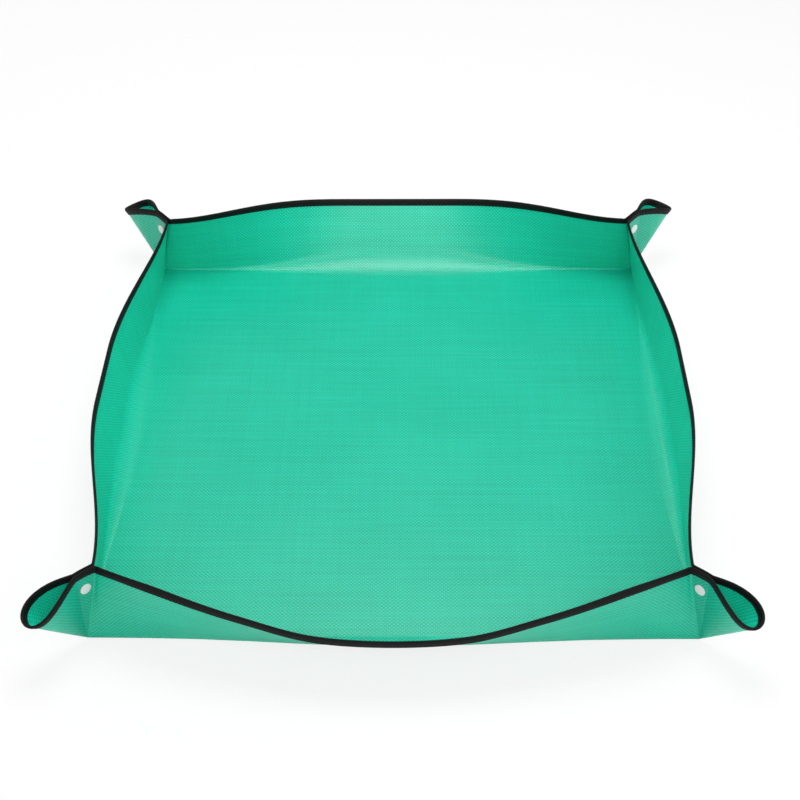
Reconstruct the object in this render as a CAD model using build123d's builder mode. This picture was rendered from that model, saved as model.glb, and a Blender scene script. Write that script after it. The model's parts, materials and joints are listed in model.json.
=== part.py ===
"""Fold-up potting tray: one square of woven sheet with a bound edge, its four corners pinched into
ears by snap fasteners so that the borders stand up as walls."""

import os
from math import acos, asin, atan2, cos, degrees, pi, radians, sin, sqrt, tan

from build123d import *

os.makedirs("parts", exist_ok=True)

# Sheet. All sizes are in millimetres.
SHEET_SIDE = 1000
SHEET_THICK = 0.5
BASE_HALF = 385
WALL_RUN = SHEET_SIDE / 2 - BASE_HALF

# Each wall at its middle: its lean from the floor, the radius of the soft bend at its foot, and how far
# out from the straight crease its foot bows. The bend tightens to a sharp point at the corners. A slack
# wall sags evenly between its corners, and a taut one keeps most of its twist near them.
WALL_LEAN = {"front": 54, "right": 82, "back": 55, "left": 79}
WALL_SLACK = {"front": 1, "right": 0, "back": 0, "left": 0}
BEND_RADIUS = {"front": 32, "right": 30, "back": 66, "left": 30}
CREASE_BOW = {"front": 12, "right": 6, "back": 4, "left": 6}
LEAST_RADIUS = 1.5
CORNER_LEAN = 100
TWIST_START = 0.15

# When the tray is opened out, a wall's middle turns by a little less than its lean, and its ends turn
# about the base's corners.
FOLD_SHORT = 3
OPEN_TURN = 85

# Share of the half length where a wall's middle ends, and where its end meets the ear.
MIDDLE_SHARE = 0.9
CORNER_SHARE = 1 - 4.9 / BASE_HALF

# Ear: a cone from the base's corner. Its two layers run together through the neck, where the snap
# is, then open into a drop-shaped loop. Angles are in degrees, seen from the base's corner.
NECK_ANGLE = 13
LOOP_SPREAD = 13
LOOP_ROUND = 1.5
TIP_SHORT = 2.5
EAR_LAP = 0.2
EAR_START = 18

# Black tape folded over the edge and sewn.
TAPE_WIDTH = 9.5
TAPE_THICK = 0.6

# Clearances: within one moving piece, between two of them, at a crease, and from an ear's tip to the
# diagonal.
SNUG = 0.1
GAP = 0.3
SEAM = 0.6
TIP_CLEAR = 0.7

# Base: a flat panel, and along each side, a small gap from it, a lip that starts flat and bends up. Shares
# are of half a side.
LIP_GAP = 0.8
LIP_FLAT = 1.25
LIP_SHARE = 0.975
PANEL_SHARE = 0.985

# Sections in a loft along a lip, a wall's middle and a wall's end, and the step for a wall's direction.
LIP_SECTIONS = 21
WALL_SECTIONS = 13
END_SECTIONS = 4
PLACE_STEP = 0.002

# Snap fastener; its drop is measured from the sheet's edge.
SNAP_DROP = 28.7
SNAP_ANGLE = 6.5
CAP_RADIUS = 7.5
CAP_RIM = 0.7
CAP_DOME = 2.0
SNAP_RADIUS = 6
SOCKET_DEPTH = 3.0
FLANGE_DEPTH = 1.0
KNOB_RADIUS = 3.0
KNOB_HEIGHT = 1.9
KNOB_CLEAR = 0.35
POST_RADIUS = 1.3
POST_CLEAR = 0.3
SEAT_CLEAR = 0.25

WALLS = ["front", "right", "back", "left"]
UP = Vector(0, 0, 1)


def along(wall):
    """Unit vector along a wall, anticlockwise seen from above."""
    return Vector(1, 0, 0).rotate(Axis.Z, 90 * WALLS.index(wall))


def outward(wall):
    """Unit vector across a wall, away from the tray."""
    return Vector(0, -1, 0).rotate(Axis.Z, 90 * WALLS.index(wall))


def next_wall(wall, side):
    """The wall that shares the corner at this wall's end; side is 1 or -1."""
    return WALLS[(WALLS.index(wall) + side) % 4]


def corner_name(wall, side):
    """A corner's name has front or back first, then left or right."""
    pair = [wall, next_wall(wall, side)]
    return "_".join(sorted(pair, key=lambda name: name in ("left", "right")))


def ease(share):
    share = min(max(share, 0), 1)
    return share * share * (3 - 2 * share)


def twist_share(place):
    """How much more than its middle a wall turns when it opens; place runs from -1 to 1 along the wall."""
    return ease((abs(place) - TWIST_START) / (1 - TWIST_START))


def lean_at(wall, place):
    """Angle of a wall from the floor."""
    middle = WALL_LEAN[wall]
    share = WALL_SLACK[wall] * place**2 + (1 - WALL_SLACK[wall]) * twist_share(place)
    return radians(middle + (CORNER_LEAN - middle) * share)


def opened(angle):
    """A turn outward and down, for points written as reach + height * 1j."""
    return complex(cos(angle), -sin(angle))


def bend_point(wall, place):
    """Middle of the bend at a wall's foot. It lies on the line that stays put while the wall opens."""
    half = radians(WALL_LEAN[wall]) / 2
    inset = BEND_RADIUS[wall] * (1 / cos(half) - 1)
    fold = BASE_HALF + CREASE_BOW[wall] + inset * complex(-sin(half), cos(half))
    turn = radians(WALL_LEAN[wall] - FOLD_SHORT)
    whole = radians(OPEN_TURN)
    fold_shift = fold * (1 - opened(turn))
    twist_shift = BASE_HALF * (1 - opened(whole)) - fold_shift
    reached = opened(turn + (whole - turn) * twist_share(place))
    done = (opened(turn) - reached) / (opened(turn) - opened(whole))
    return (fold_shift + twist_shift * done) / (1 - reached)


def bend_radius(wall, place):
    return max(bend_point(wall, place).imag / (1 - cos(lean_at(wall, place) / 2)), LEAST_RADIUS)


def crease_reach(wall, place):
    """Distance out to the line where wall and floor would meet in a sharp crease."""
    half = lean_at(wall, place) / 2
    middle = bend_point(wall, place)
    return middle.real + middle.imag * tan(half)


def crease_point(wall, place):
    return along(wall) * (place * BASE_HALF) + outward(wall) * crease_reach(wall, place)


def slope_vector(wall, place):
    """From the crease to the sheet's edge, up one wall."""
    run = SHEET_SIDE / 2 - crease_reach(wall, place)
    lean = lean_at(wall, place)
    drift = along(wall) * (place * WALL_RUN * cos(radians(CORNER_LEAN)))
    return drift + outward(wall) * (run * cos(lean)) + UP * (run * sin(lean))


def wall_frame(wall, place):
    """Section plane of a wall: x climbs the wall, y points into the tray."""
    ahead, behind = place + PLACE_STEP, place - PLACE_STEP
    run = crease_point(wall, ahead) - crease_point(wall, behind)
    run += (slope_vector(wall, ahead) - slope_vector(wall, behind)) * 0.5
    climb = slope_vector(wall, place).normalized()
    inside = climb.cross(run).normalized()
    return Plane(origin=crease_point(wall, place), x_dir=climb, z_dir=climb.cross(inside))


class WallSection:
    """Section across a wall and its foot. In its plane x climbs the wall and y points into the tray."""

    def __init__(self, wall, place):
        self.frame = wall_frame(wall, place)
        self.radius = bend_radius(wall, place)
        self.length = slope_vector(wall, place).length
        floor = UP.cross(self.frame.z_dir).normalized()
        if floor.dot(outward(wall)) < 0:
            floor = floor * -1
        self.turn = acos(floor.dot(self.frame.x_dir))
        self.half_gap = SEAM / 2 / self.radius

    def on_bend(self, angle, depth):
        """Point on the bend, by its angle down from the wall and its depth inside the outer face."""
        reach = self.radius - depth
        return (self.radius * tan(self.turn / 2) - reach * sin(angle), self.radius - reach * cos(angle))

    def along_floor(self, distance, depth):
        """Point on the floor, by its distance in from the bend."""
        x, y = self.on_bend(self.turn, depth)
        return (x - distance * cos(self.turn), y + distance * sin(self.turn))

    def floor_edge(self):
        """Edge of the flat panel, beside the lip."""
        x, y = self.along_floor(LIP_FLAT + LIP_GAP, 0)
        return self.frame.from_local_coords(Vector(x, y, 0))

    def draw_arc(self, first, last, depth):
        ThreePointArc(
            self.on_bend(first, depth), self.on_bend((first + last) / 2, depth), self.on_bend(last, depth)
        )

    def draw_wall(self):
        """Sheet from the middle of the bend to its edge."""
        first = self.turn / 2 - self.half_gap
        foot = self.on_bend(0, 0)[0]
        self.draw_arc(first, 0, 0)
        Polyline((foot, 0), (self.length, 0), (self.length, SHEET_THICK), (foot, SHEET_THICK))
        self.draw_arc(0, first, SHEET_THICK)
        Line(self.on_bend(first, SHEET_THICK), self.on_bend(first, 0))

    def draw_lip(self):
        """Base's edge: a short flat, then the bend up to its middle."""
        last = self.turn / 2 + self.half_gap
        low, high = self.along_floor(LIP_FLAT, 0), self.along_floor(LIP_FLAT, SHEET_THICK)
        Line(low, self.on_bend(self.turn, 0))
        self.draw_arc(self.turn, last, 0)
        Line(self.on_bend(last, 0), self.on_bend(last, SHEET_THICK))
        self.draw_arc(last, self.turn, SHEET_THICK)
        Polyline(self.on_bend(self.turn, SHEET_THICK), high, low)

    def draw_tape(self):
        Polyline(*tape_outline(self.length, 0), close=True)


# The ear's first and last rulings follow from the corner's lean and from the sheet lying flat.
FIRST_TILT = atan2(sqrt(2) * cos(radians(CORNER_LEAN)), sin(radians(CORNER_LEAN)))
EAR_RADIUS = WALL_RUN * sqrt(1 + cos(radians(CORNER_LEAN)) ** 2)
WALL_SHARE = acos(-cos(radians(CORNER_LEAN)) / sqrt(1 + cos(radians(CORNER_LEAN)) ** 2))
TIP_TILT = radians(135 - TIP_SHORT) - WALL_SHARE + FIRST_TILT
NECK_TILT = FIRST_TILT + radians(NECK_ANGLE)

# The two layers stand apart by the depth of the closed snap between them.
SNAP_REACH = EAR_RADIUS - SNAP_DROP
SHEET_INNER = (SOCKET_DEPTH + FLANGE_DEPTH + GAP) / 2 + SEAT_CLEAR
NECK_SPREAD = degrees(asin((SHEET_INNER - TIP_CLEAR) / SNAP_REACH))
START_TILT = FIRST_TILT - radians(NECK_SPREAD - EAR_LAP)


def corner_axes(wall, side):
    """Base corner, direction out along its diagonal, and direction from the diagonal to this wall's half."""
    corner = along(wall) * (side * BASE_HALF) + outward(wall) * BASE_HALF
    diagonal = (along(wall) * side + outward(wall)).normalized()
    across = (outward(wall) - along(wall) * side).normalized()
    return corner, diagonal, across


def ruling(wall, side, tilt, spread):
    """Unit vector from the base's corner, tilted outward and spread away from the diagonal."""
    corner, diagonal, across = corner_axes(wall, side)
    return diagonal * (sin(tilt) * cos(spread)) + across * sin(spread) + UP * (cos(tilt) * cos(spread))


def loop_ruling(wall, side, turn):
    """Ruling of the ear's open loop; turn runs from 0 at the neck to pi at the tip."""
    share = (1 - cos(turn)) / 2
    tilt = NECK_TILT + (TIP_TILT - NECK_TILT) * share
    drop = LOOP_SPREAD * sin(turn) * sin(turn / 2) ** LOOP_ROUND
    return ruling(wall, side, tilt, radians(NECK_SPREAD * (1 - share) + drop))


def ear_frames(wall, side):
    """Section planes of one half of an ear: x follows the ruling, y points to the other half."""
    corner, diagonal, across = corner_axes(wall, side)
    neck_tilts = [START_TILT + (NECK_TILT - START_TILT) * n / 4 for n in range(4)]
    rays = [ruling(wall, side, tilt, radians(NECK_SPREAD)) for tilt in neck_tilts]
    turns = [pi * n / 10 for n in range(1, 11)]
    rays += [loop_ruling(wall, side, turn) for turn in turns]
    tangents = [rays[1] - rays[0]]
    tangents += [rays[n + 1] - rays[n - 1] for n in range(1, len(rays) - 1)]
    tangents += [across * -1]
    frames = []
    for ray, tangent in zip(rays, tangents):
        inner = ray.cross(tangent).normalized() * side
        frames.append(Plane(origin=corner + across * TIP_CLEAR, x_dir=ray, z_dir=ray.cross(inner)))
    return frames


def sheet_outline(start, end, low):
    """Section of the sheet."""
    return [(start, low), (end, low), (end, low + SHEET_THICK), (start, low + SHEET_THICK)]


def tape_outline(end, low):
    """Section of the tape folded over the sheet's edge."""
    inner_low = low - SNUG
    inner_high = low + SHEET_THICK + SNUG
    return [
        (end - TAPE_WIDTH, inner_low - TAPE_THICK),
        (end + SNUG + TAPE_THICK, inner_low - TAPE_THICK),
        (end + SNUG + TAPE_THICK, inner_high + TAPE_THICK),
        (end - TAPE_WIDTH, inner_high + TAPE_THICK),
        (end - TAPE_WIDTH, inner_high),
        (end + SNUG, inner_high),
        (end + SNUG, inner_low),
        (end - TAPE_WIDTH, inner_low),
    ]


def section_faces(frames, draws):
    """Faces of a strip's sections, each drawn in its own plane."""
    faces = []
    for frame, draw in zip(frames, draws):
        with BuildSketch(frame) as section:
            with BuildLine():
                draw()
            make_face()
        faces.append(section.sketch)
    return faces


def make_strip(label, frames, draws):
    """Loft one strip and write it."""
    with BuildPart() as strip:
        loft(section_faces(frames, draws))
    strip.part.label = label
    export_step(strip.part, f"parts/{label}.step")


def wall_sections(wall, first, last, count):
    return [WallSection(wall, first + (last - first) * n / (count - 1)) for n in range(count)]


def make_wall_strips(sheet_label, tape_label, wall, first, last, count):
    """Sheet and tape of one wall between two places along it."""
    sections = wall_sections(wall, first, last, count)
    frames = [section.frame for section in sections]
    make_strip(sheet_label, frames, [section.draw_wall for section in sections])
    make_strip(tape_label, frames, [section.draw_tape for section in sections])


# Base: the flat panel, and along each side a lip that bends up to meet the wall.
base_sides = {wall: wall_sections(wall, -LIP_SHARE, LIP_SHARE, LIP_SECTIONS) for wall in WALLS}
base_edges = {}
for wall, sections in base_sides.items():
    ends = wall_sections(wall, -PANEL_SHARE, PANEL_SHARE, 2)
    base_edges[wall] = [section.floor_edge() for section in (ends[0], *sections, ends[1])]
with BuildPart() as base_panel:
    with BuildSketch():
        with BuildLine():
            for wall in WALLS:
                Spline(*base_edges[wall])
                Line(base_edges[wall][-1], base_edges[next_wall(wall, 1)][0])
        make_face()
    extrude(amount=SHEET_THICK)
base_panel.part.label = "base_panel"
export_step(base_panel.part, "parts/base_panel.step")
with BuildPart() as base_lips:
    for sections in base_sides.values():
        frames = [section.frame for section in sections]
        loft(section_faces(frames, [section.draw_lip for section in sections]))
base_lips.part.label = "base_lips"
export_step(base_lips.part, "parts/base_lips.step")

# Walls: a long middle and a short end at each corner.
end_start = MIDDLE_SHARE + GAP / BASE_HALF
for wall in WALLS:
    make_wall_strips(f"{wall}_wall", f"{wall}_binding", wall, -MIDDLE_SHARE, MIDDLE_SHARE, WALL_SECTIONS)
    for side in (-1, 1):
        end = f"{next_wall(wall, side)}_end"
        first, last = side * end_start, side * CORNER_SHARE
        make_wall_strips(f"{wall}_wall_{end}", f"{wall}_binding_{end}", wall, first, last, END_SECTIONS)

# Snaps: everything is placed on the ear's neck and measured across it from the diagonal.
snap_tilt = FIRST_TILT + radians(SNAP_ANGLE)
seat = SHEET_INNER - SEAT_CLEAR
cap_seat = SHEET_INNER + SHEET_THICK + SEAT_CLEAR
socket_face = seat - SOCKET_DEPTH
flange_face = seat - FLANGE_DEPTH
knob_end = flange_face - KNOB_HEIGHT
socket_floor = KNOB_CLEAR - knob_end
post_end = (seat + socket_floor) / 2


def snap_plane(wall, side):
    """Sketch plane through a snap: x is its radius, y runs from the diagonal out through this half."""
    corner, diagonal, across = corner_axes(wall, side)
    centre = corner + ruling(wall, side, snap_tilt, 0) * SNAP_REACH
    return Plane(origin=centre, x_dir=diagonal, z_dir=diagonal.cross(across)), Axis(centre, across)


def make_turned(label, plane, axis, outline, dome=None):
    """Turn one round piece about the snap's axis; dome is a point that bows the outline's last side."""
    with BuildPart() as turned:
        with BuildSketch(plane):
            with BuildLine():
                Polyline(*outline)
                if dome:
                    ThreePointArc(outline[-1], dome, outline[0])
                else:
                    Line(outline[-1], outline[0])
            make_face()
        revolve(axis=axis)
    turned.part.label = label
    export_step(turned.part, f"parts/{label}.step")


cap_outline = [
    (0, cap_seat + CAP_DOME),
    (0, post_end),
    (POST_RADIUS, post_end),
    (POST_RADIUS, cap_seat),
    (CAP_RADIUS, cap_seat),
    (CAP_RADIUS, cap_seat + CAP_RIM),
]
dome_rise = CAP_DOME - CAP_RIM
dome_radius = (CAP_RADIUS**2 + dome_rise**2) / (2 * dome_rise)
dome_angle = asin(CAP_RADIUS / dome_radius) / 2
dome_middle = (dome_radius * sin(dome_angle), cap_seat + CAP_DOME - dome_radius * (1 - cos(dome_angle)))
hole = POST_RADIUS + POST_CLEAR
cavity = KNOB_RADIUS + KNOB_CLEAR
socket_outline = [
    (hole, seat),
    (SNAP_RADIUS, seat),
    (SNAP_RADIUS, socket_face),
    (cavity, socket_face),
    (cavity, socket_floor),
    (hole, socket_floor),
]
stud_outline = [
    (hole, seat),
    (SNAP_RADIUS, seat),
    (SNAP_RADIUS, flange_face),
    (KNOB_RADIUS, flange_face),
    (KNOB_RADIUS, knob_end),
    (0, knob_end),
    (0, post_end - POST_CLEAR),
    (hole, post_end - POST_CLEAR),
]



def draw_ear_tape():
    Polyline(*tape_outline(EAR_RADIUS, -SHEET_THICK), close=True)


# Ears: two halves at each corner, the socket on one and the stud on the other.
for wall in WALLS:
    for side in (-1, 1):
        corner = corner_name(wall, side)
        frames = ear_frames(wall, side)
        plane, axis = snap_plane(wall, side)
        with BuildPart() as ear:
            for frame in frames:
                with BuildSketch(frame):
                    with BuildLine():
                        Polyline(*sheet_outline(EAR_START, EAR_RADIUS, -SHEET_THICK), close=True)
                    make_face()
            loft()
            with BuildSketch(Plane(origin=axis.position, z_dir=axis.direction)):
                Circle(hole)
            extrude(amount=cap_seat, mode=Mode.SUBTRACT)
        ear.part.label = f"{corner}_ear_{wall}_half"
        export_step(ear.part, f"parts/{corner}_ear_{wall}_half.step")
        make_strip(f"{corner}_ear_binding_{wall}_half", frames, [draw_ear_tape for frame in frames])
        kind = "socket" if side > 0 else "stud"
        outline = socket_outline if side > 0 else stud_outline
        make_turned(f"{corner}_{kind}", plane, axis, outline)
        make_turned(f"{corner}_{kind}_cap", plane, axis, cap_outline, dome_middle)
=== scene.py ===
"""Looks of the fold-up potting tray: its folded woven sheet, its sewn edge tape and its snaps."""

import json
from collections import namedtuple
from functools import lru_cache, partial
from math import acos, asin, atan2, cos, hypot, pi, prod, radians, sin, sqrt, tan

import bmesh
import bpy
from mathutils import Matrix, Vector


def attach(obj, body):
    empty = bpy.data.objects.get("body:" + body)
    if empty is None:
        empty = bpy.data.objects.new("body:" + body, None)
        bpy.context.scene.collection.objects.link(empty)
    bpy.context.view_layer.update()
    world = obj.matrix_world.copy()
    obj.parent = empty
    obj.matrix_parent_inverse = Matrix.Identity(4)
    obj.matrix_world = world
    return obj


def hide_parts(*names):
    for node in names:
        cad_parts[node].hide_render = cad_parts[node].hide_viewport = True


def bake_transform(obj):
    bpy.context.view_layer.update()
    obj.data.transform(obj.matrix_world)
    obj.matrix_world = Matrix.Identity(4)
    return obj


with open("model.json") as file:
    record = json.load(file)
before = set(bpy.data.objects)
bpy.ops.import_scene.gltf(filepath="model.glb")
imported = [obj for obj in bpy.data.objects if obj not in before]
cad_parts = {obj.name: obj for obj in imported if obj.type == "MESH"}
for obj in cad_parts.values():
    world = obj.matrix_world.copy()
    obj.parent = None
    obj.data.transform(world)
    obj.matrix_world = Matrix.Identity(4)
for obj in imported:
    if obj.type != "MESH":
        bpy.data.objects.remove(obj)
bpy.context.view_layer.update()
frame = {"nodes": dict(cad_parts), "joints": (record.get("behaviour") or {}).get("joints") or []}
joints = {joint["name"]: joint for joint in frame["joints"]}

# Sheet, in metres. The flat square is split by the four creases into a base and four walls.
SHEET_HALF = 0.5
SHEET_THICK = 0.0005
BASE_HALF = 0.385
WALL_RUN = SHEET_HALF - BASE_HALF
WALL_LEAN = {"front": radians(54), "right": radians(82), "back": radians(55), "left": radians(79)}
WALL_SLACK = {"front": 1, "right": 0, "back": 0, "left": 0}
CORNER_LEAN = radians(100)
TWIST_START = 0.15
LEAST_BEND = 1e-6

# Slack in the base: two waves and the product of two more. Each has radians per metre to the right and to
# the back, and a start. The lift is as high as their deepest trough is deep.
RIPPLE_HEIGHT = 0.00045
RIPPLE_WAVES = [(9, 4, 1), (-5, 13, 2)]
RIPPLE_CROSS = [(17, 0, 0.5), (0, 11, 0)]
RIPPLE_LIFT = 3

# The slack front wall bellies out below its hem at its middle. Further along it is nearly straight, and
# there the sewn tape rolls the hem in. Both are gone before the ear. The spans are shares of half a wall.
BELLY_DEPTH = {"front": 0.0045, "right": 0, "back": 0, "left": 0}
HEM_ROLL = {"front": 0.0032, "right": 0, "back": 0, "left": 0}
HEM_START = 0.88
BELLY_LEFT = 0.12
BELLY_SPAN = (0.25, 0.5)
BELLY_FADE = (0.75, 0.95)

# Ear: a cone from the base's corner, with a fold, a neck that the snap holds, and an open loop. On the flat
# sheet its tip lies on the diagonal, seen from the corner at this angle to the crease.
DIAGONAL_ANGLE = radians(135)
NECK_ANGLE = radians(13)
LOOP_SPREAD = radians(13)
LOOP_ROUND = 1.5
TIP_SHORT = radians(1.2)
EAR_ROOT = 0.006
FOLD_ROUND = 0.0033
FOLD_CLEAR = 0.0004
SNAP_DROP = 0.0287
SNAP_HALF_DEPTH = 0.0029
PINCH_START = 0.82
PINCH_DEPTH = 0.0016

# Edge tape: one folded section, x up the wall from the sheet's edge, y into the tray. The pattern on its
# inner face is moved on by a step, so that the two faces differ.
TAPE_SECTION = [
    (-0.0095, -0.00060), (-0.0093, -0.00085), (-0.0072, -0.00088), (-0.0050, -0.00135), (-0.0022, -0.00165),
    (-0.0004, -0.00145), (0.0008, -0.00085), (0.0014, -0.00015), (0.0015, 0.00025), (0.0014, 0.00065),
    (0.0008, 0.00135), (-0.0004, 0.00195), (-0.0022, 0.00215), (-0.0050, 0.00185), (-0.0072, 0.00138),
    (-0.0093, 0.00125), (-0.0095, 0.00105), (-0.0095, 0.00055), (0.0001, 0.00055), (0.0001, -0.00005),
    (-0.0095, -0.00005),
]
TAPE_FACE_STEP = 0.02
TAPE_SHARP = radians(50)

# Stitches: pitch, half sizes along, across and out of the tape, and a row on each face of the section.
STITCH_PITCH = 0.0036
STITCH_SIZE = (0.0014, 0.00032, 0.00022)
STITCH_PLACES = [(-0.0072, -0.00090), (-0.0072, 0.00140)]

# Grid sizes: cells along half a side of the base, up a wall, round an ear and out along it. The lines are
# partly even and partly closer near the edges. Slopes are read over the probe's step.
GRID_HALF = 0.5
HALF_SIDE_CELLS = 66
WALL_ROWS = 34
EAR_CELLS = 60
EAR_ROWS = 26
EVEN_SHARE = 0.45
PROBE = 0.0015
PLACE_DIGITS = 9
EDGE_SAMPLES = 240
MERGE_GAP = 1e-7

# Shares of half an ear, from its wall to its tip: fold, neck, and where the pinch comes and goes.
FOLD_SHARE = 6 / EAR_CELLS
NECK_SHARE = 16 / EAR_CELLS
PINCH_RISE = 10 / EAR_CELLS
PINCH_FALL = (17.6 / EAR_CELLS, 35.6 / EAR_CELLS)

WALLS = ["front", "right", "back", "left"]
UP = Vector((0, 0, 1))


def along(wall):
    """Unit vector along a wall, anticlockwise seen from above."""
    return Matrix.Rotation(pi / 2 * WALLS.index(wall), 3, "Z") @ Vector((1, 0, 0))


def outward(wall):
    return Matrix.Rotation(pi / 2 * WALLS.index(wall), 3, "Z") @ Vector((0, -1, 0))


def next_wall(wall, side):
    """The wall that shares the corner at this wall's end; side is 1 or -1."""
    return WALLS[(WALLS.index(wall) + side) % 4]


def corner_name(wall, side):
    pair = [wall, next_wall(wall, side)]
    return "_".join(sorted(pair, key=lambda name: name in ("left", "right")))


def end_body(wall, side):
    return f"{wall}_wall_{next_wall(wall, side)}_end"


def ear_body(wall, side):
    return f"{corner_name(wall, side)}_ear_{wall}_half"


# Foot of the walls

def opened(angle):
    """A turn outward and down, for points written as reach + height * 1j."""
    return complex(cos(angle), -sin(angle))


def hinge_point(joint, wall):
    place = Vector(joint["pos_m"])
    return complex(place.dot(outward(wall)), place.z)


def ease(value, start=0, end=1):
    """A smooth step from 0 at start to 1 at end."""
    share = min(max((value - start) / (end - start), 0), 1)
    return share * share * (3 - 2 * share)


def twist_share(place):
    return ease(abs(place), TWIST_START)


def bend_point(wall, place):
    """Middle of the bend at a wall's foot, on the line that stays put while the wall opens."""
    fold = joints[f"{wall}_wall_fold"]
    twist = joints[f"{end_body(wall, 1)}_fold"]
    turn = radians(fold["range_deg"][1])
    reached = opened(turn + radians(twist["range_deg"][1]) * twist_share(place))
    shift = hinge_point(fold, wall) * (1 - opened(turn)) + hinge_point(twist, wall) * (opened(turn) - reached)
    return shift / (1 - reached)


Foot = namedtuple("Foot", "lean radius crease flat_reach bend run")


@lru_cache(maxsize=None)
def foot_at(wall, place):
    """Section of a wall's foot.

    It gives the lean, the bend's radius, the sharp crease line, the flat floor, half the bend and the run.
    """
    share = WALL_SLACK[wall] * place**2 + (1 - WALL_SLACK[wall]) * twist_share(place)
    lean = WALL_LEAN[wall] + (CORNER_LEAN - WALL_LEAN[wall]) * share
    middle = bend_point(wall, place)
    radius = max(middle.imag / (1 - cos(lean / 2)), LEAST_BEND)
    crease = middle.real + middle.imag * tan(lean / 2)
    return Foot(lean, radius, crease, crease - radius * tan(lean / 2), radius * lean / 2, SHEET_HALF - crease)


def spaced(share):
    """Spreads grid lines so that they are closer near the edges of the base."""
    return EVEN_SHARE * share + (1 - EVEN_SHARE) * sin(share * pi / 2)


# The folded sheet: each surface gives a point and that point's place on the flat sheet

def floor_profile(wall, place, share):
    """Reach, height and flat distance from the base's centre out to the middle of one bend."""
    foot = foot_at(wall, round(abs(place), PLACE_DIGITS))
    flat = abs(share) * (foot.flat_reach + foot.bend)
    if flat <= foot.flat_reach:
        return flat, 0, flat
    angle = (flat - foot.flat_reach) / foot.radius
    return foot.flat_reach + foot.radius * sin(angle), foot.radius * (1 - cos(angle)), flat


def ripple(x, y):
    """The slack of a sheet that has been folded: low waves that die out at the walls."""
    fade = max(1 - (x / BASE_HALF) ** 2, 0) * max(1 - (y / BASE_HALF) ** 2, 0)
    waves = sum(sin(right * x + back * y + start) for right, back, start in RIPPLE_WAVES)
    cross = prod(sin(right * x + back * y + start) for right, back, start in RIPPLE_CROSS)
    return RIPPLE_HEIGHT * fade * (waves + cross + RIPPLE_LIFT)


def base_surface(a, b):
    """The base: a runs from left to right and b from front to back, each between the middles of two bends."""
    right, back = spaced(2 * a - 1), spaced(2 * b - 1)
    x, x_rise, u = floor_profile("right" if right > 0 else "left", back, right)
    y, y_rise, v = floor_profile("back" if back > 0 else "front", right, back)
    x_sign = 1 if right > 0 else -1
    y_sign = 1 if back > 0 else -1
    point = Vector((x * x_sign, y * y_sign, x_rise + y_rise))
    point.z += ripple(point.x, point.y)
    return point, (u * x_sign, v * y_sign)


def belly(wall, place, share):
    """How far a wall stands out from its straight slope; share runs from its foot to its edge."""
    kept = 1 - ease(place, *BELLY_FADE)
    further = ease(place, *BELLY_SPAN)
    depth = BELLY_DEPTH[wall] * (1 - (1 - BELLY_LEFT) * further) * kept
    roll = HEM_ROLL[wall] * further * kept
    if share < HEM_START:
        return depth * ease(share, 0, HEM_START)
    hem = ((share - HEM_START) / (1 - HEM_START)) ** 2
    return depth * (1 - hem) - roll * hem


# Ear sizes that follow from those above: its radius out to the sheet's edge, the angle that the snap leaves
# at its neck, the share of the wall that its fold takes up, and the tilts of its rulings from upright.
EAR_RADIUS = WALL_RUN * hypot(1, cos(CORNER_LEAN))
NECK_SPREAD = asin(SNAP_HALF_DEPTH / (EAR_RADIUS - SNAP_DROP))
WALL_TRIM = (EAR_RADIUS * sin(NECK_SPREAD) * sqrt(2) + FOLD_ROUND) / BASE_HALF
FIRST_TILT = atan2(sqrt(2) * cos(CORNER_LEAN), sin(CORNER_LEAN))
WALL_SHARE = acos(-cos(CORNER_LEAN) / hypot(1, cos(CORNER_LEAN)))
NECK_TILT = FIRST_TILT + NECK_ANGLE
TIP_TILT = DIAGONAL_ANGLE - TIP_SHORT - WALL_SHARE + FIRST_TILT
FOLD_TILT = FIRST_TILT - NECK_SPREAD
FOLD_END_TILT = FOLD_TILT + FOLD_ROUND / EAR_RADIUS


def wall_surface(wall, side, a, b):
    """Half of a wall: a runs from its middle to the ear, b from the middle of the bend to the edge."""
    place = spaced(a) * (1 - WALL_TRIM)
    foot = foot_at(wall, round(abs(place), PLACE_DIGITS))
    flange = foot.radius * tan(foot.lean / 2)
    length = b * (foot.bend + foot.run - flange)
    climb, inset = flange + length - foot.bend, 0
    if length < foot.bend:
        angle = foot.lean / 2 - length / foot.radius
        climb, inset = flange - foot.radius * sin(angle), foot.radius * (1 - cos(angle))
    start = flange - foot.radius * sin(foot.lean / 2)
    share = max(climb - start, 0) / (foot.run - start)
    drift = place * WALL_RUN * cos(CORNER_LEAN) * share
    inset -= belly(wall, abs(place), share)
    reach = foot.crease + climb * cos(foot.lean) - inset * sin(foot.lean)
    height = climb * sin(foot.lean) + inset * cos(foot.lean)
    run = side * (place * BASE_HALF + drift)
    flat = along(wall) * run + outward(wall) * (foot.flat_reach + foot.bend + length)
    return along(wall) * run + outward(wall) * reach + UP * height, (flat.x, flat.y)


def corner_axes(wall, side):
    """Base corner, direction out along its diagonal, and direction from the diagonal to this wall's half."""
    corner = along(wall) * (side * BASE_HALF) + outward(wall) * BASE_HALF
    diagonal = (along(wall) * side + outward(wall)).normalized()
    return corner, diagonal, (outward(wall) - along(wall) * side).normalized()


def ruling(wall, side, tilt, spread):
    """Direction of one straight line of the ear's cone, from the base's corner."""
    _, diagonal, across = corner_axes(wall, side)
    return diagonal * (sin(tilt) * cos(spread)) + across * sin(spread) + UP * (cos(tilt) * cos(spread))


def pinch(a, share):
    """How far the ear's edge is drawn in to the diagonal above the snap, where its two layers touch."""
    near = ease(a, 0, PINCH_RISE) * (1 - ease(a, *PINCH_FALL))
    return PINCH_DEPTH * near * ease(share, PINCH_START)


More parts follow.
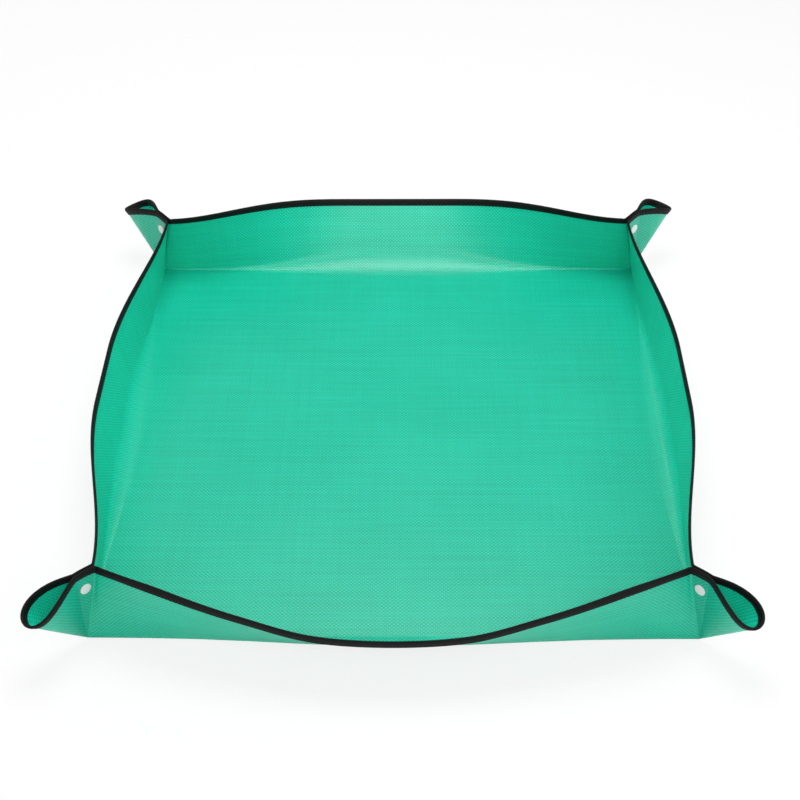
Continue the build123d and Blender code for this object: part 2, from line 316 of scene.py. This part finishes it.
def ear_surface(wall, side, a, b):
    """Half of an ear: a runs from the wall's end to the tip on the diagonal, b from the base's corner out."""
    corner, _, across = corner_axes(wall, side)
    share = EAR_ROOT + (1 - EAR_ROOT) * b
    radius = EAR_RADIUS * share
    if a < FOLD_SHARE:
        t = a / FOLD_SHARE
        first, first_flat = wall_surface(wall, side, 1, b)
        knee = corner + ruling(wall, side, FOLD_TILT, NECK_SPREAD) * radius
        last = corner + ruling(wall, side, FOLD_END_TILT, NECK_SPREAD) * radius
        point = first * (1 - t) ** 2 + knee * (2 * t * (1 - t)) + last * t**2
        angle = 0
    elif a < NECK_SHARE:
        t = (a - FOLD_SHARE) / (NECK_SHARE - FOLD_SHARE)
        tilt = FOLD_END_TILT + (NECK_TILT - FOLD_END_TILT) * t
        point = corner + ruling(wall, side, tilt, NECK_SPREAD) * radius
        angle = tilt - FOLD_END_TILT
    else:
        turn = pi * (a - NECK_SHARE) / (1 - NECK_SHARE)
        done = (1 - cos(turn)) / 2
        tilt = NECK_TILT + (TIP_TILT - NECK_TILT) * done
        loop = LOOP_SPREAD * sin(turn) * abs(sin(turn / 2)) ** LOOP_ROUND
        point = corner + ruling(wall, side, tilt, NECK_SPREAD * (1 - done) + loop) * radius
        angle = tilt - FOLD_END_TILT
    point -= across * pinch(a, share)
    swing = angle + WALL_SHARE - pi / 2
    flat = corner + (outward(wall) * cos(swing) + along(wall) * (side * sin(swing))) * radius
    if a < FOLD_SHARE:
        flat = Vector((*first_flat, 0)).lerp(flat, t)
    return point, (flat.x, flat.y)


# Mesh makers

def sheet_mesh(name, columns, rows, surface, turned):
    """A flat grid laid out by surface and given the sheet's thickness, with normals read from the surface."""
    bm = bmesh.new()
    bmesh.ops.create_grid(bm, x_segments=columns, y_segments=rows, size=GRID_HALF)
    normal_layer = bm.verts.layers.float_vector.new("facing")
    flat_layer = bm.verts.layers.float_vector.new("flat")
    for vert in bm.verts:
        a, b = vert.co.x + GRID_HALF, vert.co.y + GRID_HALF
        point, flat = surface(a, b)
        across = surface(a + PROBE, b)[0] - surface(a - PROBE, b)[0]
        up = surface(a, b + PROBE)[0] - surface(a, b - PROBE)[0]
        vert.co = point
        vert[normal_layer] = across.cross(up).normalized() * turned
        vert[flat_layer] = (*flat, 0)
    outer = bm.verts[:]
    grown = bmesh.ops.extrude_face_region(bm, geom=bm.faces[:], use_keep_orig=True)
    for vert in grown["geom"]:
        if isinstance(vert, bmesh.types.BMVert):
            vert.co += vert[normal_layer] * SHEET_THICK
    for vert in outer:
        vert[normal_layer] = -vert[normal_layer]
    bmesh.ops.recalc_face_normals(bm, faces=bm.faces[:])
    uv = bm.loops.layers.uv.new("flat_sheet")
    bm.verts.index_update()
    for face in bm.faces:
        face.smooth = True
        for loop in face.loops:
            loop[uv].uv = loop.vert[flat_layer].xy
    normals = [tuple(vert[normal_layer]) for vert in bm.verts]
    bm.verts.layers.float_vector.remove(normal_layer)
    bm.verts.layers.float_vector.remove(bm.verts.layers.float_vector["flat"])
    mesh = bpy.data.meshes.new(name)
    bm.to_mesh(mesh)
    bm.free()
    mesh.normals_split_custom_set_from_vertices(normals)
    return mesh


def edge_frame(surface, turned, a):
    """Point on the sheet's edge, with unit vectors along the edge, out of the sheet and to its inside."""
    here = surface(a, 1)[0]
    climb = (here - surface(a, 1 - PROBE)[0]).normalized()
    across = surface(a + PROBE, 1)[0] - surface(a - PROBE, 1)[0]
    inside = across.cross(climb).normalized() * turned
    return here, climb.cross(inside).normalized(), climb, inside


def edge_length_table(surface, samples):
    """Pairs of share and distance along a piece of the sheet's edge."""
    table, length, before = [(0, 0)], 0, surface(0, 1)[0]
    for n in range(1, samples + 1):
        here = surface(n / samples, 1)[0]
        length += (here - before).length
        table.append((n / samples, length))
        before = here
    return table


def share_at(table, distance):
    for (low, start), (high, end) in zip(table, table[1:]):
        if end >= distance:
            return low + (high - low) * (distance - start) / (end - start)
    return 1


def tape_mesh(name, columns, surface, turned):
    """The folded tape swept along one piece of the sheet's edge, closed at both ends."""
    count = len(TAPE_SECTION)
    bm = bmesh.new()
    bmesh.ops.create_grid(bm, x_segments=columns, y_segments=count, size=GRID_HALF)
    place_layer = bm.verts.layers.float_vector.new("place")
    lengths = [length for _, length in edge_length_table(surface, columns)]
    for vert in bm.verts:
        column = round((vert.co.x + GRID_HALF) * columns)
        ring = round((vert.co.y + GRID_HALF) * count)
        here, _, climb, inside = edge_frame(surface, turned, column / columns)
        x, y = TAPE_SECTION[ring % count]
        vert.co = here + climb * x + inside * y
        step = TAPE_FACE_STEP if y > SHEET_THICK / 2 else 0
        vert[place_layer] = (lengths[column], x + step, 0)
    bmesh.ops.remove_doubles(bm, verts=bm.verts[:], dist=MERGE_GAP)
    rim = [edge for edge in bm.edges if edge.is_boundary]
    bmesh.ops.holes_fill(bm, edges=rim, sides=0)
    bmesh.ops.recalc_face_normals(bm, faces=bm.faces[:])
    uv = bm.loops.layers.uv.new("along_tape")
    for face in bm.faces:
        face.smooth = True
        for loop in face.loops:
            loop[uv].uv = loop.vert[place_layer].xy
    bm.verts.layers.float_vector.remove(place_layer)
    mesh = bpy.data.meshes.new(name)
    bm.to_mesh(mesh)
    bm.free()
    mesh.set_sharp_from_angle(angle=TAPE_SHARP)
    return mesh


def stitch_mesh(name, surface, turned):
    """One row of stitches on each face of the tape."""
    bm = bmesh.new()
    table = edge_length_table(surface, EDGE_SAMPLES)
    total = table[-1][1]
    count = max(int(total / STITCH_PITCH), 1)
    for n in range(count):
        share = share_at(table, (n + 0.5) * total / count)
        here, run, climb, inside = edge_frame(surface, turned, share)
        for x, y in STITCH_PLACES:
            centre = here + climb * x + inside * y
            axes = [axis * size for axis, size in zip((run, climb, inside), STITCH_SIZE)]
            lie = Matrix.Identity(4)
            for column, vector in enumerate((*axes, centre)):
                for row in range(3):
                    lie[row][column] = vector[row]
            bmesh.ops.create_uvsphere(bm, u_segments=6, v_segments=4, radius=1, matrix=lie)
    bmesh.ops.recalc_face_normals(bm, faces=bm.faces[:])
    for face in bm.faces:
        face.smooth = True
    mesh = bpy.data.meshes.new(name)
    bm.to_mesh(mesh)
    bm.free()
    return mesh


# Materials

def new_material(name):
    material = bpy.data.materials.new(name)
    material.use_nodes = True
    return material, material.node_tree, material.node_tree.nodes["Principled BSDF"]


def node(tree, kind, inputs=(), **settings):
    """A node with its settings, and inputs given as values or as sockets to link."""
    made = tree.nodes.new(kind)
    for key, value in settings.items():
        setattr(made, key, value)
    for key, value in dict(inputs).items():
        if isinstance(value, bpy.types.NodeSocket):
            tree.links.new(value, made.inputs[key])
        else:
            made.inputs[key].default_value = value
    return made


def math(tree, operation, first, second=0.0):
    return node(tree, "ShaderNodeMath", {0: first, 1: second}, operation=operation).outputs[0]


def noise(tree, place, scale, detail):
    inputs = {"Vector": place, "Scale": scale, "Detail": detail}
    return node(tree, "ShaderNodeTexNoise", inputs).outputs["Fac"]


def ranged(tree, factor, low, high):
    """A value that runs from low to high as the factor runs from 0 to 1."""
    return node(tree, "ShaderNodeMapRange", {0: factor, 3: low, 4: high}).outputs[0]


def mix_colours(tree, factor, first, second):
    return node(tree, "ShaderNodeMix", {0: factor, 6: first, 7: second}, data_type="RGBA").outputs[2]


# Woven sheet: strips of one pitch, three greens with their places on the scale of tones, and how much of
# the tone comes from each strip, from the cross strips alone, from broad clouds, from which strip is on top
# (a painted sheen: the strips on top one way are painted lighter) and from the crown of each crossing
# (painted shade: each strip is painted darker towards its edges, where it dips under the next).
WEAVE_PITCH = 0.0027
GREEN_DEEP = (0.1, (0.001, 0.330, 0.190, 1))
GREEN = (0.5, (0.003, 0.520, 0.330, 1))
GREEN_PALE = (0.95, (0.010, 0.680, 0.470, 1))
STRIP_TONE = 0.30
WEFT_TONE = 0.14
CLOUD_TONE = 0.18
PAINTED_OVER_SHEEN = 0.46
PAINTED_RIDGE_SHADE = 0.28
TONE_START = 0.14
STRIP_DRIFT = 0.02
OVER_SHEEN = 0.3

# Tape, thread and snaps: pitches of the tape's ribs, how strongly they show, how much painted shade the ribs
# put into the colour (darker in their troughs, lighter on their crests), and pairs of dark and light.
RIB_PITCH = 0.0011
CROSS_RIB_PITCH = 0.0016
RIB_DEPTH = 0.35
CROSS_RIB_DEPTH = 0.15
RIB_PAINTED_SHADE = 0.5
TAPE_COLOURS = [(0.0015, 0.0015, 0.0017, 1), (0.006, 0.006, 0.0066, 1)]
THREAD_COLOURS = [(0.004, 0.004, 0.0045, 1), (0.018, 0.018, 0.020, 1)]
SNAP_COLOURS = [(0.86, 0.87, 0.87, 1), (0.93, 0.93, 0.93, 1)]


def strip_tone(tree, strip, length, offset):
    """A tone that is nearly even along one strip of the weave and differs from strip to strip."""
    drift = math(tree, "MULTIPLY", length, STRIP_DRIFT)
    place = node(tree, "ShaderNodeCombineXYZ", {0: math(tree, "FLOOR", strip), 1: drift, 2: offset})
    return noise(tree, place.outputs[0], 0.73, 1.0)


def crown(tree, strip):
    """Height across one strip: none at its edges, 1 at its middle."""
    return math(tree, "ABSOLUTE", math(tree, "SINE", math(tree, "MULTIPLY", strip, pi)))


def woven_green():
    """Laminated woven sheet: flat strips over and under each other, each strip a little lighter or darker."""
    material, tree, shader = new_material("woven_green")
    place = node(tree, "ShaderNodeUVMap", uv_map="flat_sheet").outputs[0]
    split = node(tree, "ShaderNodeSeparateXYZ", {0: place})
    across = math(tree, "MULTIPLY", split.outputs[0], 1 / WEAVE_PITCH)
    up = math(tree, "MULTIPLY", split.outputs[1], 1 / WEAVE_PITCH)
    cell = node(tree, "ShaderNodeCombineXYZ", {0: across, 1: up, 2: 0.5}).outputs[0]
    over = node(tree, "ShaderNodeTexChecker", {"Vector": cell, "Scale": 1.0}).outputs["Fac"]
    ridge = math(tree, "MULTIPLY", crown(tree, across), crown(tree, up))
    warp = strip_tone(tree, across, up, 3.5)
    weft = strip_tone(tree, up, across, 8.5)
    strips = node(tree, "ShaderNodeMix", {0: over, 2: weft, 3: warp}).outputs[0]
    cloud = noise(tree, place, 6.0, 3.0)
    tone = math(tree, "MULTIPLY", strips, STRIP_TONE)
    # The weights for which strip is on top and for the crowns paint light and shade into the colour: a
    # painted sheen on the top strips and painted shade at the strips' edges.
    for layer, weight in ((weft, WEFT_TONE), (cloud, CLOUD_TONE), (over, PAINTED_OVER_SHEEN), (ridge, PAINTED_RIDGE_SHADE)):
        tone = math(tree, "ADD", tone, math(tree, "MULTIPLY", layer, weight))
    ramp = node(tree, "ShaderNodeValToRGB", {0: math(tree, "SUBTRACT", tone, TONE_START)})
    stops = ramp.color_ramp.elements
    stops[0].position, stops[0].color = GREEN_DEEP
    stops[1].position, stops[1].color = GREEN_PALE
    stops.new(GREEN[0]).color = GREEN[1]
    tree.links.new(ramp.outputs[0], shader.inputs["Base Color"])
    sheen = math(tree, "ADD", cloud, math(tree, "MULTIPLY", over, OVER_SHEEN))
    tree.links.new(ranged(tree, sheen, 0.28, 0.40), shader.inputs["Roughness"])
    bump = node(tree, "ShaderNodeBump", {"Strength": 0.45, "Distance": 0.00022, "Height": ridge})
    tree.links.new(bump.outputs[0], shader.inputs["Normal"])
    shader.inputs["Specular IOR Level"].default_value = 0.5
    shader.inputs["Subsurface Weight"].default_value = 0.6
    shader.inputs["Subsurface Radius"].default_value = (1, 1, 1)
    shader.inputs["Subsurface Scale"].default_value = 0.0025
    return material


def black_tape():
    """Ribbed black tape with a soft sheen."""
    material, tree, shader = new_material("black_tape")
    place = node(tree, "ShaderNodeUVMap", uv_map="along_tape").outputs[0]
    split = node(tree, "ShaderNodeSeparateXYZ", {0: place})
    ribs = math(tree, "SINE", math(tree, "MULTIPLY", split.outputs[0], 2 * pi / RIB_PITCH))
    cross = math(tree, "SINE", math(tree, "MULTIPLY", split.outputs[1], 2 * pi / CROSS_RIB_PITCH))
    deep = math(tree, "MULTIPLY", ribs, RIB_DEPTH)
    weave = math(tree, "ADD", deep, math(tree, "MULTIPLY", cross, CROSS_RIB_DEPTH))
    lint = noise(tree, place, 900.0, 2.0)
    # Painted shade: the ribs' height darkens the colour in their troughs and lightens it on their crests; the
    # lint is random tone.
    tone = math(tree, "ADD", math(tree, "MULTIPLY", weave, RIB_PAINTED_SHADE), lint)
    tree.links.new(mix_colours(tree, tone, *TAPE_COLOURS), shader.inputs["Base Color"])
    bump = node(tree, "ShaderNodeBump", {"Strength": 0.5, "Distance": 0.00012, "Height": weave})
    tree.links.new(bump.outputs[0], shader.inputs["Normal"])
    shader.inputs["Roughness"].default_value = 0.68
    shader.inputs["Specular IOR Level"].default_value = 0.22
    return material


def black_thread():
    """Twisted thread, a little glossier than the tape."""
    material, tree, shader = new_material("black_thread")
    place = node(tree, "ShaderNodeTexCoord").outputs["Object"]
    twist = noise(tree, place, 2500.0, 1.0)
    tree.links.new(mix_colours(tree, twist, *THREAD_COLOURS), shader.inputs["Base Color"])
    shader.inputs["Roughness"].default_value = 0.5
    return material


def white_snap():
    """Moulded white plastic with faint handling marks."""
    material, tree, shader = new_material("white_snap")
    place = node(tree, "ShaderNodeTexCoord").outputs["Object"]
    marks = noise(tree, place, 420.0, 4.0)
    tree.links.new(mix_colours(tree, marks, *SNAP_COLOURS), shader.inputs["Base Color"])
    tree.links.new(ranged(tree, marks, 0.22, 0.38), shader.inputs["Roughness"])
    return material


GREEN_SHEET = woven_green()
TAPE = black_tape()
THREAD = black_thread()
SNAP = white_snap()


# Pieces

def add_piece(name, mesh, material):
    piece = bpy.data.objects.new(name, mesh)
    bpy.context.scene.collection.objects.link(piece)
    mesh.materials.append(material)
    return piece


def sheet_piece(name, columns, rows, surface, turned):
    return add_piece(name, sheet_mesh(name, columns, rows, surface, turned), GREEN_SHEET)


def tape_piece(name, columns, surface, turned):
    return add_piece(name, tape_mesh(name, columns, surface, turned), TAPE)


def stitch_piece(name, surface, turned):
    return add_piece(name, stitch_mesh(name, surface, turned), THREAD)


def ear_swing(wall, side):
    """Bodies and points between which an ear's fold opens."""
    corner, diagonal, _ = corner_axes(wall, side)
    crease = ruling(wall, side, FIRST_TILT, 0)
    way = (diagonal - crease * diagonal.dot(crease)).normalized()
    border = [wall_surface(wall, side, 1, n / WALL_ROWS)[0] for n in range(WALL_ROWS + 1)]
    start = max((point - corner).dot(way) for point in border)
    return end_body(wall, side), ear_body(wall, side), corner + way * start, corner - way * FOLD_CLEAR


base = sheet_piece("base_sheet", 2 * HALF_SIDE_CELLS, 2 * HALF_SIDE_CELLS, base_surface, 1)
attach(base, "base")
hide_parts("base_panel", "base_lips")

for wall in WALLS:
    for side in (-1, 1):
        other = next_wall(wall, side)
        corner = corner_name(wall, side)
        swing = ear_swing(wall, side)
        half_wall = partial(wall_surface, wall, side)
        half_ear = partial(ear_surface, wall, side)

        sheet_name = f"{wall}_wall_sheet_{other}"
        panel = sheet_piece(sheet_name, HALF_SIDE_CELLS, WALL_ROWS, half_wall, -side)
        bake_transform(panel)
        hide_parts(f"{wall}_wall", f"{wall}_wall_{other}_end")
        tape = tape_piece(f"{wall}_tape_{other}", 2 * HALF_SIDE_CELLS, half_wall, -side)
        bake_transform(tape)
        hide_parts(f"{wall}_binding", f"{wall}_binding_{other}_end")
        thread = stitch_piece(f"{wall}_stitching_{other}", half_wall, -side)
        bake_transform(thread)

        ear = sheet_piece(f"{corner}_ear_sheet_{wall}", EAR_CELLS, EAR_ROWS, half_ear, -side)
        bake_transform(ear)
        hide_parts(f"{corner}_ear_{wall}_half")
        ear_tape = tape_piece(f"{corner}_ear_tape_{wall}", EAR_CELLS, half_ear, -side)
        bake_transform(ear_tape)
        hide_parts(f"{corner}_ear_binding_{wall}_half")
        ear_thread = stitch_piece(f"{corner}_ear_stitching_{wall}", half_ear, -side)
        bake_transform(ear_thread)

        kind = "socket" if side > 0 else "stud"
        for name in (f"{corner}_{kind}", f"{corner}_{kind}_cap"):
            frame["nodes"][name].data.materials.clear()
            frame["nodes"][name].data.materials.append(SNAP)

# Floor, light and camera. The room's level lights the tray, and the glow whitens the floor for the camera.
ROOM_LEVEL = 0.33
FLOOR_HALF = 6
FLOOR_DROP = 0.0008
FLOOR_WHITE = (0.93, 0.93, 0.93, 1)
FLOOR_GLOW = 0.8
WHITE = (1, 1, 1, 1)
CAMERA_AZIMUTH = radians(0.96)
CAMERA_ELEVATION = radians(43.2)
CAMERA_DISTANCE = 2.075
CAMERA_ROLL = radians(-0.62)
SENSOR_WIDTH = 36
IMAGE_SIDE = 800
FOCAL_PIXELS = 1426
CENTRE_PIXEL = (395.5, 428.8)


def place_camera():
    camera = bpy.data.objects.new("camera", bpy.data.cameras.new("camera"))
    bpy.context.scene.collection.objects.link(camera)
    level = cos(CAMERA_ELEVATION)
    back = Vector((sin(CAMERA_AZIMUTH) * level, -cos(CAMERA_AZIMUTH) * level, sin(CAMERA_ELEVATION)))
    right = UP.cross(back).normalized()
    level_up = back.cross(right)
    turned_right = right * cos(CAMERA_ROLL) + level_up * sin(CAMERA_ROLL)
    turned_up = level_up * cos(CAMERA_ROLL) - right * sin(CAMERA_ROLL)
    turn = Matrix((turned_right, turned_up, back)).transposed().to_4x4()
    camera.matrix_world = Matrix.Translation(back * CAMERA_DISTANCE) @ turn
    camera.data.sensor_width = SENSOR_WIDTH
    camera.data.lens = FOCAL_PIXELS / IMAGE_SIDE * SENSOR_WIDTH
    camera.data.shift_x = 0.5 - CENTRE_PIXEL[0] / IMAGE_SIDE
    camera.data.shift_y = CENTRE_PIXEL[1] / IMAGE_SIDE - 0.5
    bpy.context.scene.camera = camera


def softbox(name, place, target, size, power):
    light = bpy.data.lights.new(name, "AREA")
    light.shape = "RECTANGLE"
    light.size, light.size_y = size
    light.energy = power
    lamp = bpy.data.objects.new(name, light)
    bpy.context.scene.collection.objects.link(lamp)
    lamp.location = place
    lamp.rotation_euler = (Vector(target) - Vector(place)).to_track_quat("-Z", "Y").to_euler()


def white_backdrop():
    """A white room that lights the tray softly."""
    world = bpy.data.worlds.new("white_room")
    bpy.context.scene.world = world
    world.use_nodes = True
    tree = world.node_tree
    ray = node(tree, "ShaderNodeLightPath")
    seen = math(tree, "MAXIMUM", ray.outputs["Is Camera Ray"], ray.outputs["Is Transmission Ray"])
    background = tree.nodes["Background"]
    background.inputs["Color"].default_value = WHITE
    tree.links.new(ranged(tree, seen, ROOM_LEVEL, 1.0), background.inputs["Strength"])


def white_floor():
    """A white floor just below the tray, which keeps a faint shadow."""
    bm = bmesh.new()
    bmesh.ops.create_grid(bm, x_segments=1, y_segments=1, size=FLOOR_HALF)
    bmesh.ops.translate(bm, verts=bm.verts[:], vec=(0, 0, -FLOOR_DROP))
    mesh = bpy.data.meshes.new("floor")
    bm.to_mesh(mesh)
    bm.free()
    floor = bpy.data.objects.new("floor", mesh)
    bpy.context.scene.collection.objects.link(floor)
    material, tree, shader = new_material("white_floor")
    shader.inputs["Base Color"].default_value = FLOOR_WHITE
    shader.inputs["Roughness"].default_value = 0.9
    glow = node(tree, "ShaderNodeEmission", {"Color": WHITE, "Strength": 1.0})
    ray = node(tree, "ShaderNodeLightPath")
    share = math(tree, "MULTIPLY", ray.outputs["Is Camera Ray"], FLOOR_GLOW)
    both = node(tree, "ShaderNodeMixShader", {0: share, 1: shader.outputs[0], 2: glow.outputs[0]})
    tree.links.new(both.outputs[0], tree.nodes["Material Output"].inputs["Surface"])
    mesh.materials.append(material)


white_backdrop()
white_floor()
place_camera()
softbox("overhead", (0.0, 0.3, 1.9), (0, 0.3, 0), (1.1, 0.95), 25)
softbox("front", (0.3, -2.2, 2.3), (0, 0, 0), (2.4, 1.4), 30)
softbox("right_side", (2.2, 0.2, 1.4), (0, 0, 0), (1.2, 1.2), 10)
softbox("left_back", (-1.5, 1.7, 1.3), (0.2, 0.1, 0), (0.5, 1.0), 6)
bpy.context.scene.view_settings.view_transform = "Standard"
